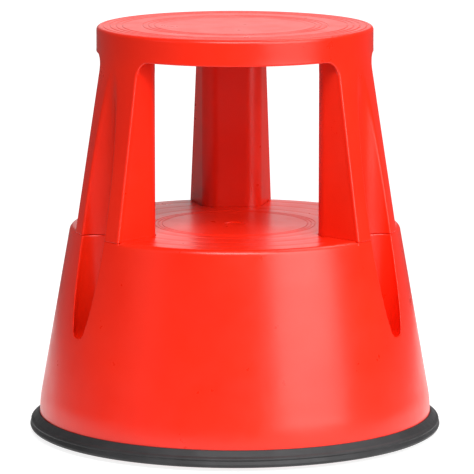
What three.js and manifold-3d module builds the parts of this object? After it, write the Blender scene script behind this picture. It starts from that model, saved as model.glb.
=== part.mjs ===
// Kick step stool: a round top tread on three hollow legs, standing on a conical base with a
// step tread round the legs, a rubber floor ring, and three sprung castors inside the base.
// Units are millimetres, +Z is up, and the origin is on the floor under the middle of the stool.
// Unloaded, the stool stands on its castor tyres and the ring hangs just clear of the floor.

import * as THREE from "three";
import { mergeVertices } from "three/addons/utils/BufferGeometryUtils.js";
import Module from "manifold-3d";

const wasm = await Module();
wasm.setup();

// ---- Driving dimensions ----

const HEIGHT = 430;              // floor to top tread
const WALL = 3;                  // moulded wall of both shells
const TREAD_WALL = 4;            // thicker under the feet
const GAP = 0.3;                 // clearance between pieces that touch

const TOP_RADIUS = 145;
const TOP_EDGE_ROUND = 4;
const BAND_BOTTOM = 403;         // lower edge of the band, where the windows start

const LEG_AZIMUTHS = [90, 210, 330];
const LEG_SLOPE = 0.158;         // outward lean of the legs' outer face
const LEG_INNER_RADIUS = 108;    // the flat inner face of a leg
const LEG_INNER_HALF_WIDTH = 29;
const LEG_SIDE_ANGLE = THREE.MathUtils.degToRad(14.5);
const LEG_CORNER_ROUND = 15;
const LEG_OUTER_REACH = 190;     // past the outer face, before it is trimmed
const ARCH_ROUND = 16;           // corners at the top of each window

const FLUTE_CENTRE = 169.3;      // an upright round channel down each leg, into the base
const FLUTE_RADIUS = 23.5;
const FLUTE_FLOOR = 112.5;

const STEP_HEIGHT = 220;
const FOOT_RECESS = 1.5;         // the legs stand this deep in the step tread
const SHOULDER_ROUND = 8;
const BASE_SLOPE = 0.178;        // outward lean of the base's skirt
const BASE_REFERENCE = [177.8, 195.4];   // a radius and height on the skirt
const SKIRT_KNEE = 42;           // below this the skirt turns upright
const SKIRT_RADIUS = 207;
const SKIRT_UPRIGHT = 24;
const SKIRT_BOTTOM = 9;

const RING_CLEARANCE = 4;        // ring above the floor with no load
const RING_TOP = 21;
const RING_RADIUS = 217.5;
const RING_INNER_RADIUS = 199.5;
const RING_CREASE = [214.7, 12.8];       // where the ring's upper slope turns steeper
const RING_WIDEST_HEIGHT = 7.6;
const RING_FOOT_RADIUS = 214;
const RING_LIP = 1.2;            // flat top beside the skirt
const RING_INNER_LIP_TOP = 17;
const RING_INNER_CHAMFER = 1.5;

const PAST = 1;                  // how far a cutter runs past what it cuts

const SHELL_SEGMENTS = 48;        // facets of the shells and the floor ring
const BORE_SEGMENTS = 16;
const FLUTE_SEGMENTS = 20;
const BOSS_SEGMENTS = 10;
const SCREW_SEGMENTS = 8;

const RIB_THICKNESS = 2.4;
const RIB_COUNT = 12;
const TOP_RIB_BOTTOM = 414;
const TOP_RING_RIB_RADIUS = 60;
const STEP_RIB_BOTTOM = 200;
const STEP_RING_RIB_RADIUS = 70;

const LEG_SCREW_PLACE = [128, 26.5];     // outward and sideways in the leg's own frame
const SCREW_RADIUS = 2;
const SCREW_HEAD_RADIUS = 3.9;
const SCREW_HEAD_HEIGHT = 2.6;
const SCREW_BOSS_RADIUS = 5;
const LEG_BOSS_TOP = 245;
const LEG_SCREW_LENGTH = 18;

const CASTOR_RADIUS = 158;       // swivel axis from the middle of the stool
const CASTOR_TRAVEL = 5;         // how far a castor sinks in under load
const TRAIL = 12;                // wheel axle behind the swivel axis
const WHEEL_RADIUS = 19;
const TYRE_WIDTH = 14;
const TYRE_SHOULDER = [1.6, 2.4];        // cut off each edge, inwards and sideways
const RIM_RADIUS = 14;
const HUB_RADIUS = 6;
const HUB_PROUD = 0.8;           // the hub stands out past the wheel's faces
const AXLE_RADIUS = 3;
const AXLE_PLAY = 0.15;
const AXLE_HEAD_RADIUS = 4.6;
const AXLE_HEAD_THICKNESS = 1.6;
const FORK_THICKNESS = 2.4;
const FORK_INSIDE_HALF = 8.6;
const FORK_FRONT = 9;            // the crown's reach in front of the swivel axis, and behind it
const FORK_BACK = 12;
const FORK_SHOULDER = 6;
const FORK_EYE_RADIUS = 7;
const CROWN_TOP = 44.3;
const STEM_RADIUS = 5;
const STEM_FLANGE_RADIUS = 9;
const STEM_RIVET_RADIUS = 6.5;   // the stem is riveted over under the crown
const STEM_RIVET_THICKNESS = 2.1;
const STEM_TOP = 90;
const CLIP_HEIGHT = 62.4;
const CLIP_THICKNESS = 1;
const CLIP_WIDTH = 3;
const CLIP_GROOVE_DEPTH = 0.8;
const CLIP_PLAY = 0.15;
const WASHER_THICKNESS = 1.8;
const SOCKET_RADIUS = 13;
const SOCKET_BORE = 10.5;
const SOCKET_BOTTOM = 53.3;
const SOCKET_FLANGE = 2.7;
const SOCKET_FLANGE_REACH = 28;
const SOCKET_TOP = 103;
const SOCKET_SCREW_OFFSET = 21;
const SOCKET_SCREW_LENGTH = 16;
const BUSH_TOP = 62;
const SPRING_RADIUS = 8;
const SPRING_WIRE = 0.9;
const SPRING_TURNS = 4.5;
const BOSS_WALL = 3.5;

// ---- Geometry helpers ----

// A closed three.js geometry as a solid, its faces turned outwards if they weren't.
function solid(geometry) {
  const bare = new THREE.BufferGeometry();
  bare.setAttribute("position", geometry.getAttribute("position"));
  bare.setIndex(geometry.getIndex());
  const merged = mergeVertices(bare, 1e-4);
  const place = merged.getAttribute("position");
  const index = merged.getIndex().array;
  const corners = [new THREE.Vector3(), new THREE.Vector3(), new THREE.Vector3()];
  const triangles = [];
  let volume = 0;
  for (let i = 0; i < index.length; i += 3) {
    const [a, b, c] = [index[i], index[i + 1], index[i + 2]];
    if (a === b || b === c || c === a) continue;
    [a, b, c].forEach((vertex, k) => corners[k].fromBufferAttribute(place, vertex));
    volume += corners[0].dot(corners[1].cross(corners[2]));
    triangles.push([a, b, c]);
  }
  if (volume < 0) triangles.forEach((triangle) => triangle.reverse());
  const triVerts = Uint32Array.from(triangles.flat());
  const vertProperties = Float32Array.from(place.array);
  return new wasm.Manifold(new wasm.Mesh({ numProp: 3, vertProperties, triVerts }));
}

function geometryOf(body) {
  const { vertProperties, triVerts } = body.getMesh();
  const geometry = new THREE.BufferGeometry();
  geometry.setAttribute("position", new THREE.BufferAttribute(vertProperties, 3));
  geometry.setIndex(new THREE.BufferAttribute(triVerts, 1));
  return geometry;
}

// Revolves [radius, height] points about Z. They start and end on the axis or close on themselves.
function revolve(profile, segments = SHELL_SEGMENTS) {
  const points = profile.map(([radius, height]) => new THREE.Vector2(radius, height));
  return new THREE.LatheGeometry(points, segments).rotateX(Math.PI / 2);
}

// A ring between two radii and two heights.
function ring(inner, outer, bottom, top, segments = BORE_SEGMENTS) {
  return revolve([[inner, bottom], [outer, bottom], [outer, top], [inner, top], [inner, bottom]],
    segments);
}

// An upright cylinder standing at x, y.
function rod(radius, bottom, top, segments = BORE_SEGMENTS, x = 0, y = 0) {
  return new THREE.CylinderGeometry(radius, radius, top - bottom, segments)
    .rotateX(Math.PI / 2)
    .translate(x, y, (top + bottom) / 2);
}

function block(x0, x1, y0, y1, z0, z1) {
  return new THREE.BoxGeometry(x1 - x0, y1 - y0, z1 - z0)
    .translate((x0 + x1) / 2, (y0 + y1) / 2, (z0 + z1) / 2);
}

function prism(shape, bottom, top, curveSegments = 5) {
  return new THREE.ExtrudeGeometry(shape, { depth: top - bottom, bevelEnabled: false, curveSegments })
    .translate(0, 0, bottom);
}

// Points of an arc about a centre, from one angle to another, in degrees.
function arc([x, y], radius, from, to, steps) {
  return Array.from({ length: steps + 1 }, (_, i) => {
    const angle = THREE.MathUtils.degToRad(from + ((to - from) * i) / steps);
    return [x + radius * Math.cos(angle), y + radius * Math.sin(angle)];
  });
}

// Joins and cuts a body with geometries.
function join(body, ...geometries) {
  return geometries.reduce((whole, geometry) => whole.add(solid(geometry)), body);
}

function cut(body, ...geometries) {
  return geometries.reduce((whole, geometry) => whole.subtract(solid(geometry)), body);
}

// One copy of a geometry at each leg.
function atLegs(makeGeometry) {
  return LEG_AZIMUTHS.map((azimuth) => makeGeometry().rotateZ(THREE.MathUtils.degToRad(azimuth)));
}

// ---- Outlines shared by the shells ----

const legRadius = (height) => TOP_RADIUS + LEG_SLOPE * Math.max(0, BAND_BOTTOM - height);
const baseRadius = (height) => BASE_REFERENCE[0] + BASE_SLOPE * (BASE_REFERENCE[1] - height);
const footHeight = STEP_HEIGHT - FOOT_RECESS;

// An upright cylinder on the first leg's flute axis, before the leg is turned into place.
const fluteRod = (radius, bottom, top) => rod(radius, bottom, top, FLUTE_SEGMENTS, FLUTE_CENTRE);

// The plan of a leg that points along +X, grown outwards by a margin (inwards if negative).
function legPlan(margin = 0) {
  const lean = LEG_SIDE_ANGLE;
  const inner = LEG_INNER_RADIUS - margin;
  const slope = Math.tan(lean);
  const halfWidth = (x) => LEG_INNER_HALF_WIDTH + slope * (x - LEG_INNER_RADIUS)
    + margin / Math.cos(lean);
  const round = LEG_CORNER_ROUND + margin;
  const centreX = inner + round;
  const centreY = halfWidth(centreX) - round / Math.cos(lean);
  const shape = new THREE.Shape();
  shape.moveTo(LEG_OUTER_REACH, -halfWidth(LEG_OUTER_REACH));
  shape.lineTo(LEG_OUTER_REACH, halfWidth(LEG_OUTER_REACH));
  shape.absarc(centreX, centreY, round, Math.PI / 2 + lean, Math.PI, false);
  shape.absarc(centreX, -centreY, round, Math.PI, 1.5 * Math.PI - lean, false);
  return shape;
}

// ---- The upper moulding: top tread, band and three hollow legs ----

function makeUpperShell() {
  const plateBottom = HEIGHT - TREAD_WALL;
  const rim = arc([TOP_RADIUS - TOP_EDGE_ROUND, HEIGHT - TOP_EDGE_ROUND], TOP_EDGE_ROUND, 0, 90, 3);
  let shell = solid(revolve([
    [0, plateBottom], [TOP_RADIUS - WALL, plateBottom], [TOP_RADIUS - WALL, BAND_BOTTOM],
    [TOP_RADIUS, BAND_BOTTOM], ...rim, [0, HEIGHT],
  ]));

  const legFoot = footHeight + GAP;
  const outside = solid(revolve([
    [0, legFoot], [legRadius(legFoot), legFoot], [TOP_RADIUS, BAND_BOTTOM],
    [TOP_RADIUS, plateBottom + PAST], [0, plateBottom + PAST],
  ]));
  const cutFrom = legFoot - PAST;
  const inside = solid(revolve([
    [0, cutFrom], [legRadius(cutFrom) - WALL, cutFrom], [TOP_RADIUS - WALL, BAND_BOTTOM],
    [TOP_RADIUS - WALL, plateBottom], [0, plateBottom],
  ]));
  const legHeight = [legFoot, plateBottom + PAST];

  atLegs(() => prism(legPlan(), ...legHeight)).forEach((leg) => {
    shell = shell.add(solid(leg).intersect(outside));
  });

  // Rounded window corners, in the outer wall only.
  const archSteps = 4;
  for (let step = 0; step < archSteps; step += 1) {
    const angle = ((step + 0.5) / archSteps) * (Math.PI / 2);
    const grown = ARCH_ROUND * (1 - Math.cos(angle));
    const bottom = BAND_BOTTOM - ARCH_ROUND * (1 - Math.sin((step / archSteps) * (Math.PI / 2)));
    const wall = solid(revolve([
      [legRadius(bottom) - WALL, bottom], [legRadius(bottom), bottom],
      [TOP_RADIUS, BAND_BOTTOM + PAST], [TOP_RADIUS - WALL, BAND_BOTTOM + PAST],
      [legRadius(bottom) - WALL, bottom],
    ]));
    atLegs(() => prism(legPlan(grown), bottom, BAND_BOTTOM + PAST)).forEach((web) => {
      shell = shell.add(solid(web).intersect(wall));
    });
  }

  const fluteWalls = atLegs(() => fluteRod(FLUTE_RADIUS + WALL, 0, HEIGHT));
  atLegs(() => prism(legPlan(-WALL), cutFrom, plateBottom)).forEach((core, i) => {
    shell = shell.subtract(cut(solid(core).intersect(inside), fluteWalls[i]));
  });
  shell = cut(shell, ...atLegs(() => fluteRod(FLUTE_RADIUS, 0, plateBottom)));

  for (const side of [-1, 1]) {
    const [outward, sideways] = LEG_SCREW_PLACE;
    const place = [outward, side * sideways];
    shell = join(shell, ...atLegs(() => rod(SCREW_BOSS_RADIUS, legFoot, LEG_BOSS_TOP,
      BOSS_SEGMENTS, ...place)));
    shell = cut(shell, ...atLegs(() => rod(SCREW_RADIUS + GAP, cutFrom,
      legFoot + LEG_SCREW_LENGTH, SCREW_SEGMENTS, ...place)));
  }
  return joinRibs(shell, TOP_RIB_BOTTOM, plateBottom + PAST, TOP_RADIUS - WALL / 2,
    TOP_RING_RIB_RADIUS);
}

// Stiffening ribs under a tread: radial ones and one ring.
function joinRibs(shell, bottom, top, reach, ringRadius) {
  const ringRib = ring(ringRadius, ringRadius + RIB_THICKNESS, bottom, top, SHELL_SEGMENTS / 2);
  let ribbed = join(shell, ringRib);
  for (let i = 0; i < RIB_COUNT / 2; i += 1) {
    const rib = block(-reach, reach, -RIB_THICKNESS / 2, RIB_THICKNESS / 2, bottom, top)
      .rotateZ((2 * Math.PI * i) / RIB_COUNT);
    ribbed = join(ribbed, rib);
  }
  return ribbed;
}

// ---- The lower moulding: step tread, skirt, flute wells and castor bosses ----

function makeLowerShell() {
  const plateBottom = STEP_HEIGHT - TREAD_WALL;
  const lean = THREE.MathUtils.radToDeg(Math.atan(BASE_SLOPE));
  const shoulderHeight = STEP_HEIGHT - SHOULDER_ROUND;
  const tangent = shoulderHeight + SHOULDER_ROUND * Math.sin(Math.atan(BASE_SLOPE));
  const crest = baseRadius(tangent) - SHOULDER_ROUND * Math.cos(Math.atan(BASE_SLOPE));
  const shoulder = arc([crest, shoulderHeight], SHOULDER_ROUND, 90, lean, 4);
  const skirt = [[baseRadius(SKIRT_KNEE), SKIRT_KNEE], [SKIRT_RADIUS, SKIRT_UPRIGHT]];
  const inset = skirt.map(([radius, height]) => [radius - WALL, height]).reverse();

  const outside = solid(revolve([
    [0, footHeight], [baseRadius(footHeight), footHeight], ...skirt,
    [SKIRT_RADIUS, SKIRT_BOTTOM], [0, SKIRT_BOTTOM],
  ]));
  let shell = solid(revolve([
    [0, STEP_HEIGHT], ...shoulder, ...skirt, [SKIRT_RADIUS, SKIRT_BOTTOM],
    [SKIRT_RADIUS - WALL, SKIRT_BOTTOM], ...inset,
    [baseRadius(tangent) - WALL, tangent], [crest, plateBottom], [0, plateBottom],
  ]));

  // The shell carries the skirt's slope up to each foot, and each foot stands in a shallow recess.
  const above = STEP_HEIGHT + PAST;
  const edge = cut(outside, rod(crest - WALL, 0, STEP_HEIGHT, SHELL_SEGMENTS));
  atLegs(() => prism(legPlan(), tangent - 2 * PAST, footHeight)).forEach((pad) => {
    shell = shell.add(solid(pad).intersect(edge));
  });
  shell = cut(shell, ...atLegs(() => prism(legPlan(GAP), footHeight, above)));

  shell = joinRibs(shell, STEP_RIB_BOTTOM, plateBottom + PAST, crest, STEP_RING_RIB_RADIUS);
  atLegs(() => fluteRod(FLUTE_RADIUS + WALL, FLUTE_FLOOR - WALL, footHeight)).forEach((well) => {
    shell = shell.add(solid(well).intersect(outside));
  });
  shell = cut(shell, ...atLegs(() => fluteRod(FLUTE_RADIUS, FLUTE_FLOOR, above)));

  const bossBottom = SOCKET_BOTTOM + SOCKET_FLANGE + GAP;
  const bossRadius = SOCKET_RADIUS + GAP + BOSS_WALL;
  const bossTop = FLUTE_FLOOR - PAST;
  const cutFrom = bossBottom - PAST;
  shell = join(shell, ...atLegs(() => rod(bossRadius, bossBottom, bossTop, BORE_SEGMENTS,
    CASTOR_RADIUS)));
  atLegs(() => block(CASTOR_RADIUS, SKIRT_RADIUS, -RIB_THICKNESS / 2, RIB_THICKNESS / 2,
    bossBottom + WALL, bossTop)).forEach((rib) => {
    shell = shell.add(solid(rib).intersect(outside));
  });
  for (const side of [-1, 1]) {
    const [outward, sideways] = LEG_SCREW_PLACE;
    const offset = side * SOCKET_SCREW_OFFSET;
    shell = join(shell, ...atLegs(() => rod(SCREW_BOSS_RADIUS, bossBottom, bossTop,
      BOSS_SEGMENTS, CASTOR_RADIUS, offset)));
    shell = cut(shell, ...atLegs(() => rod(SCREW_RADIUS + GAP, cutFrom,
      bossBottom + SOCKET_SCREW_LENGTH, SCREW_SEGMENTS, CASTOR_RADIUS, offset)));
    shell = cut(shell, ...atLegs(() => rod(SCREW_RADIUS + GAP, plateBottom - PAST, above,
      SCREW_SEGMENTS, outward, side * sideways)));
  }
  return cut(shell, ...atLegs(() => rod(SOCKET_RADIUS + GAP, cutFrom, SOCKET_TOP + 2 * GAP,
    BORE_SEGMENTS, CASTOR_RADIUS)));
}

// ---- The rubber floor ring, which clips over the skirt's edge ----

function makeBaseRing() {
  const groove = [SKIRT_RADIUS + GAP, SKIRT_RADIUS - WALL - GAP];
  const grooveBottom = SKIRT_BOTTOM - GAP;
  return solid(revolve([
    [RING_INNER_RADIUS, RING_CLEARANCE], [RING_FOOT_RADIUS, RING_CLEARANCE],
    [RING_RADIUS, RING_WIDEST_HEIGHT], RING_CREASE, [groove[0] + RING_LIP, RING_TOP],
    [groove[0], RING_TOP], [groove[0], grooveBottom], [groove[1], grooveBottom],
    [groove[1], RING_INNER_LIP_TOP],
    [RING_INNER_RADIUS + RING_INNER_CHAMFER, RING_INNER_LIP_TOP],
    [RING_INNER_RADIUS, RING_INNER_LIP_TOP - RING_INNER_CHAMFER],
    [RING_INNER_RADIUS, RING_CLEARANCE],
  ]));
}

// ---- Screws, pan-headed, pointing up from below ----

function makeScrew(headTop, length) {
  const head = SCREW_HEAD_RADIUS;
  const bottom = headTop - SCREW_HEAD_HEIGHT;
  return solid(revolve([
    [0, bottom], [head, bottom], [head, headTop], [SCREW_RADIUS, headTop],
    [SCREW_RADIUS, headTop + length], [0, headTop + length],
  ], SCREW_SEGMENTS));
}

// ---- Castor pieces, each in a frame with the swivel axis at x = y = 0 and +X outwards ----

function makeSocket() {
  const flange = new THREE.Shape()
    .absellipse(0, 0, SOCKET_RADIUS + BOSS_WALL, SOCKET_FLANGE_REACH, 0, 2 * Math.PI);
  let socket = solid(prism(flange, SOCKET_BOTTOM, SOCKET_BOTTOM + SOCKET_FLANGE, 8));
  socket = join(socket, rod(SOCKET_RADIUS, SOCKET_BOTTOM, SOCKET_TOP));
  socket = cut(socket, rod(SOCKET_BORE, SOCKET_BOTTOM - PAST, SOCKET_TOP - WALL));
  for (const side of [-1, 1]) {
    socket = cut(socket, rod(SCREW_RADIUS + GAP, SOCKET_BOTTOM - PAST,
      SOCKET_BOTTOM + SOCKET_FLANGE + PAST, SCREW_SEGMENTS, 0, side * SOCKET_SCREW_OFFSET));
  }
  return socket;
}

function makeBush() {
  return solid(ring(STEM_RADIUS + AXLE_PLAY, SOCKET_BORE - GAP, SOCKET_BOTTOM, BUSH_TOP));
}

class Helix extends THREE.Curve {
  constructor(radius, bottom, top, turns) {
    super();
    Object.assign(this, { radius, bottom, top, turns });
  }

  getPoint(t, target = new THREE.Vector3()) {
    const angle = 2 * Math.PI * this.turns * t;
    return target.set(this.radius * Math.cos(angle), this.radius * Math.sin(angle),
      this.bottom + (this.top - this.bottom) * t);
  }
}

const washerBottom = CLIP_HEIGHT + CLIP_THICKNESS + GAP;

function makeSpring() {
  const wire = new THREE.Shape().absarc(0, 0, SPRING_WIRE, 0, 2 * Math.PI);
  const bottom = washerBottom + WASHER_THICKNESS + GAP + SPRING_WIRE;
  const top = SOCKET_TOP - WALL - GAP - SPRING_WIRE;
  return solid(new THREE.ExtrudeGeometry(wire, {
    steps: 10 * SPRING_TURNS,
    curveSegments: 3,
    bevelEnabled: false,
    extrudePath: new Helix(SPRING_RADIUS, bottom, top, SPRING_TURNS),
  }));
}

function makeThrustWasher() {
  return solid(ring(STEM_RADIUS + GAP, SOCKET_BORE - 2 * GAP, washerBottom,
    washerBottom + WASHER_THICKNESS));
}

function makeClip() {
  const top = CLIP_HEIGHT + CLIP_THICKNESS;
  const opening = block(0, 2 * STEM_RADIUS, -CLIP_WIDTH / 2, CLIP_WIDTH / 2,
    CLIP_HEIGHT - PAST, top + PAST);
  const inner = STEM_RADIUS - CLIP_GROOVE_DEPTH + GAP;
  return cut(solid(ring(inner, inner + CLIP_WIDTH, CLIP_HEIGHT, top)), opening);
}

function makeStem() {
  const groove = STEM_RADIUS - CLIP_GROOVE_DEPTH;
  const grooveBottom = CLIP_HEIGHT - CLIP_PLAY;
  const grooveTop = CLIP_HEIGHT + CLIP_THICKNESS + CLIP_PLAY;
  const rivetTop = CROWN_TOP - FORK_THICKNESS - GAP;
  const rivetBottom = rivetTop - STEM_RIVET_THICKNESS;
  const flangeTop = SOCKET_BOTTOM - CASTOR_TRAVEL - 1;
  return solid(revolve([
    [0, rivetBottom], [STEM_RIVET_RADIUS, rivetBottom], [STEM_RIVET_RADIUS, rivetTop],
    [STEM_RADIUS, rivetTop], [STEM_RADIUS, CROWN_TOP + GAP],
    [STEM_FLANGE_RADIUS, CROWN_TOP + GAP], [STEM_FLANGE_RADIUS, flangeTop],
    [STEM_RADIUS, flangeTop], [STEM_RADIUS, grooveBottom], [groove, grooveBottom],
    [groove, grooveTop], [STEM_RADIUS, grooveTop], [STEM_RADIUS, STEM_TOP], [0, STEM_TOP],
  ], BORE_SEGMENTS));
}

// A lying cylinder along Y, through the wheel's centre.
function axleRod(radius, halfLength) {
  return new THREE.CylinderGeometry(radius, radius, 2 * halfLength, BORE_SEGMENTS)
    .translate(-TRAIL, 0, WHEEL_RADIUS);
}

function makeFork() {
  const outsideHalf = FORK_INSIDE_HALF + FORK_THICKNESS;
  const eyeEnd = 1.9 * Math.PI;    // where the eye's round edge meets the cheek's front edge
  const cheek = new THREE.Shape();
  cheek.moveTo(FORK_FRONT, CROWN_TOP);
  cheek.lineTo(-FORK_BACK, CROWN_TOP);
  cheek.lineTo(-TRAIL - FORK_EYE_RADIUS, WHEEL_RADIUS);
  cheek.absarc(-TRAIL, WHEEL_RADIUS, FORK_EYE_RADIUS, Math.PI, eyeEnd, false);
  cheek.lineTo(FORK_FRONT, CROWN_TOP - FORK_SHOULDER);
  const outline = new THREE.ExtrudeGeometry(cheek, {
    depth: 2 * outsideHalf, bevelEnabled: false, curveSegments: 5,
  }).rotateX(Math.PI / 2).translate(0, outsideHalf, 0);
  const reach = 2 * WHEEL_RADIUS;
  return cut(solid(outline),
    block(-reach, reach, -FORK_INSIDE_HALF, FORK_INSIDE_HALF, 0, CROWN_TOP - FORK_THICKNESS),
    rod(STEM_RADIUS + GAP, 0, CROWN_TOP + PAST),
    axleRod(AXLE_RADIUS + GAP, outsideHalf + PAST));
}

function makeAxle() {
  const outsideHalf = FORK_INSIDE_HALF + FORK_THICKNESS;
  const halfHead = AXLE_HEAD_THICKNESS / 2;
  const headPlace = outsideHalf + GAP + halfHead;
  return join(solid(axleRod(AXLE_RADIUS, headPlace)),
    axleRod(AXLE_HEAD_RADIUS, halfHead).translate(0, headPlace, 0),
    axleRod(AXLE_HEAD_RADIUS, halfHead).translate(0, -headPlace, 0));
}

// Revolves a profile of [radius, width] points about the wheel's own axle.
function turnOnAxle(profile, segments) {
  const points = profile.map(([radius, across]) => new THREE.Vector2(radius, across));
  return solid(new THREE.LatheGeometry(points, segments).translate(-TRAIL, 0, WHEEL_RADIUS));
}

function makeWheel() {
  const rimHalf = TYRE_WIDTH / 2 - 0.5;
  const hubHalf = rimHalf + HUB_PROUD;
  const webHalf = rimHalf - 1;
  const webRadius = HUB_RADIUS + 1;
  const bore = AXLE_RADIUS + AXLE_PLAY;
  return turnOnAxle([
    [bore, -hubHalf], [HUB_RADIUS, -hubHalf], [webRadius, -webHalf], [RIM_RADIUS, -rimHalf],
    [RIM_RADIUS, rimHalf], [webRadius, webHalf], [HUB_RADIUS, hubHalf], [bore, hubHalf],
    [bore, -hubHalf],
  ], BORE_SEGMENTS);
}

function makeTyre() {
  const half = TYRE_WIDTH / 2;
  const treadHalf = half - TYRE_SHOULDER[1];
  const shoulder = WHEEL_RADIUS - TYRE_SHOULDER[0];
  const inner = RIM_RADIUS + GAP;
  return turnOnAxle([
    [inner, -half], [shoulder, -half], [WHEEL_RADIUS, -treadHalf], [WHEEL_RADIUS, treadHalf],
    [shoulder, half], [inner, half], [inner, -half],
  ], 1.5 * BORE_SEGMENTS);
}

// ---- Materials ----

const material = (color, roughness, metalness) =>
  new THREE.MeshStandardMaterial({ color, roughness, metalness });
const materials = {
  redPlastic: () => material(0xd4200f, 0.42, 0),
  greyRubber: () => material(0x3b3b3e, 0.85, 0),
  zincSteel: () => material(0xb4b8bc, 0.38, 1),
  springSteel: () => material(0x8d9094, 0.32, 1),
  blackNylon: () => material(0x1c1c1e, 0.5, 0),
  greyNylon: () => material(0xa9abad, 0.5, 0),
};

// ---- Assembly ----

function part(name, body, look) {
  const mesh = new THREE.Mesh(geometryOf(body), look());
  mesh.name = name;
  return mesh;
}

function castor(number, azimuth) {
  const name = (piece) => `castor_${number}_${piece}`;
  const group = new THREE.Group();
  const angle = THREE.MathUtils.degToRad(azimuth);
  group.rotation.z = angle;
  group.position.set(CASTOR_RADIUS * Math.cos(angle), CASTOR_RADIUS * Math.sin(angle), 0);
  group.add(
    part(name("socket"), makeSocket(), materials.blackNylon),
    part(name("bush"), makeBush(), materials.greyNylon),
    part(name("spring"), makeSpring(), materials.springSteel),
    part(name("thrust_washer"), makeThrustWasher(), materials.zincSteel),
    part(name("clip"), makeClip(), materials.springSteel),
    part(name("stem"), makeStem(), materials.zincSteel),
    part(name("fork"), makeFork(), materials.zincSteel),
    part(name("axle"), makeAxle(), materials.zincSteel),
    part(name("wheel"), makeWheel(), materials.greyNylon),
    part(name("tyre"), makeTyre(), materials.greyRubber),
  );
  ["a", "b"].forEach((letter, i) => {
    const screw = part(name(`screw_${letter}`), makeScrew(SOCKET_BOTTOM - GAP, SOCKET_SCREW_LENGTH),
      materials.zincSteel);
    screw.position.y = (i === 0 ? -1 : 1) * SOCKET_SCREW_OFFSET;
    group.add(screw);
  });
  return group;
}

function legScrews(number, azimuth) {
  const group = new THREE.Group();
  group.rotation.z = THREE.MathUtils.degToRad(azimuth);
  ["a", "b"].forEach((letter, i) => {
    const screw = part(`leg_${number}_screw_${letter}`,
      makeScrew(STEP_HEIGHT - TREAD_WALL - GAP, LEG_SCREW_LENGTH), materials.zincSteel);
    screw.position.set(LEG_SCREW_PLACE[0], (i === 0 ? -1 : 1) * LEG_SCREW_PLACE[1], 0);
    group.add(screw);
  });
  return group;
}

const stool = new THREE.Group();
stool.add(
  part("upper_shell", makeUpperShell(), materials.redPlastic),
  part("lower_shell", makeLowerShell(), materials.redPlastic),
  part("base_ring", makeBaseRing(), materials.greyRubber),
);
LEG_AZIMUTHS.forEach((azimuth, i) => {
  stool.add(legScrews(i + 1, azimuth), castor(i + 1, azimuth));
});

export default stool;
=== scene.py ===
"""Looks for the kick step stool: a red moulded stool with a rubber floor ring and sprung castors.

Every piece is built in metres in the CAD frame. The two shells are rounded solids given by
distance functions, and the rest are turned profiles and small shaped pieces.
"""

import math

import bpy
import numpy as np
from mathutils import Matrix, Vector


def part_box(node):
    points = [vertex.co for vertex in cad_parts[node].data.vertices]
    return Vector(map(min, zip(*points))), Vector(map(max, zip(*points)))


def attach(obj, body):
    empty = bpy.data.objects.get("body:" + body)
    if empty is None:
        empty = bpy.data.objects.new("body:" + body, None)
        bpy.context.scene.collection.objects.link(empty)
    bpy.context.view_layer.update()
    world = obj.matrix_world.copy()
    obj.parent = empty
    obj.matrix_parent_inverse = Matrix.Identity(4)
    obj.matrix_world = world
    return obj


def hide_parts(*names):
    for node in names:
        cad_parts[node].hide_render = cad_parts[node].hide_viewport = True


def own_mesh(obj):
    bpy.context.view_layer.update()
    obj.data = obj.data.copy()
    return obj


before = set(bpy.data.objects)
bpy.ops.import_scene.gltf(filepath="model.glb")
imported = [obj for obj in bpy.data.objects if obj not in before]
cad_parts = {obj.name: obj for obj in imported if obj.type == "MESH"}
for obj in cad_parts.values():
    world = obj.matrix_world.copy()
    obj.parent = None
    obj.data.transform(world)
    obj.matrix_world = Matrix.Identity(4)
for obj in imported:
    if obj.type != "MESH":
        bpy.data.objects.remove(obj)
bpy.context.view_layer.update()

MM = 0.001


def box_mm(node):
    """A CAD node's lowest and highest corners in millimetres."""
    low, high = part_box(node)
    return [v / MM for v in low], [v / MM for v in high]


# ---- Driving dimensions, in millimetres ----

UPPER_LOW, UPPER_HIGH = box_mm("upper_shell")
LOWER_LOW, LOWER_HIGH = box_mm("lower_shell")
RING_LOW, RING_HIGH = box_mm("base_ring")

HEIGHT = UPPER_HIGH[2]
FOOT_HEIGHT = UPPER_LOW[2]
STEP_HEIGHT = LOWER_HIGH[2]
SKIRT_RADIUS = LOWER_HIGH[0]
SKIRT_BOTTOM = LOWER_LOW[2]
RING_RADIUS = RING_HIGH[0]
RING_BOTTOM = RING_LOW[2]
RING_TOP = RING_HIGH[2]

WALL = 3.0
TREAD_WALL = 4.0
WELL_WALL = 4.5             # a flute well's wall is thicker on its hidden side
GAP = 0.3                   # clearance between pieces
EDGE_ROUND = 0.6            # the mouldings' small edges
TOP_RADIUS = 145.0
BAND_BOTTOM = 403.0
BAND_BLEND = 9.0            # the band flows into the leaning legs over this height, each way
LEG_SLOPE = 0.158
LEG_INNER_RADIUS = 108.0
LEG_INNER_HALF_WIDTH = 29.0
LEG_SIDE_ANGLE = math.radians(14.5)
LEG_CORNER_ROUND = 15.0
ARCH_ROUND = 16.0
FLUTE_CENTRE = 170.0
FLUTE_RADIUS = 22.0
FLUTE_FLOOR = 108.5
FLUTE_FLOOR_ROUND = 12.0
BASE_SLOPE = 0.178
BASE_REFERENCE = (177.8, 195.4)         # the skirt's radius and the height it is taken at
SKIRT_KNEE = 33.0
SKIRT_KNEE_BLEND = 12.0
SKIRT_FOOT = (20.0, 50.0)   # between these heights the skirt flares out to its full radius
SHOULDER_ROUND = 5.0
FOOT_RECESS = FOOT_HEIGHT - GAP

SECTOR_COUNT = 3
SECTOR = 2 * math.pi / SECTOR_COUNT
REAR_AZIMUTH = math.pi / 2
CASTOR_RADIUS = 158.0


# ---- Mesh helpers ----

RELAX_STEPS = 3


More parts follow.
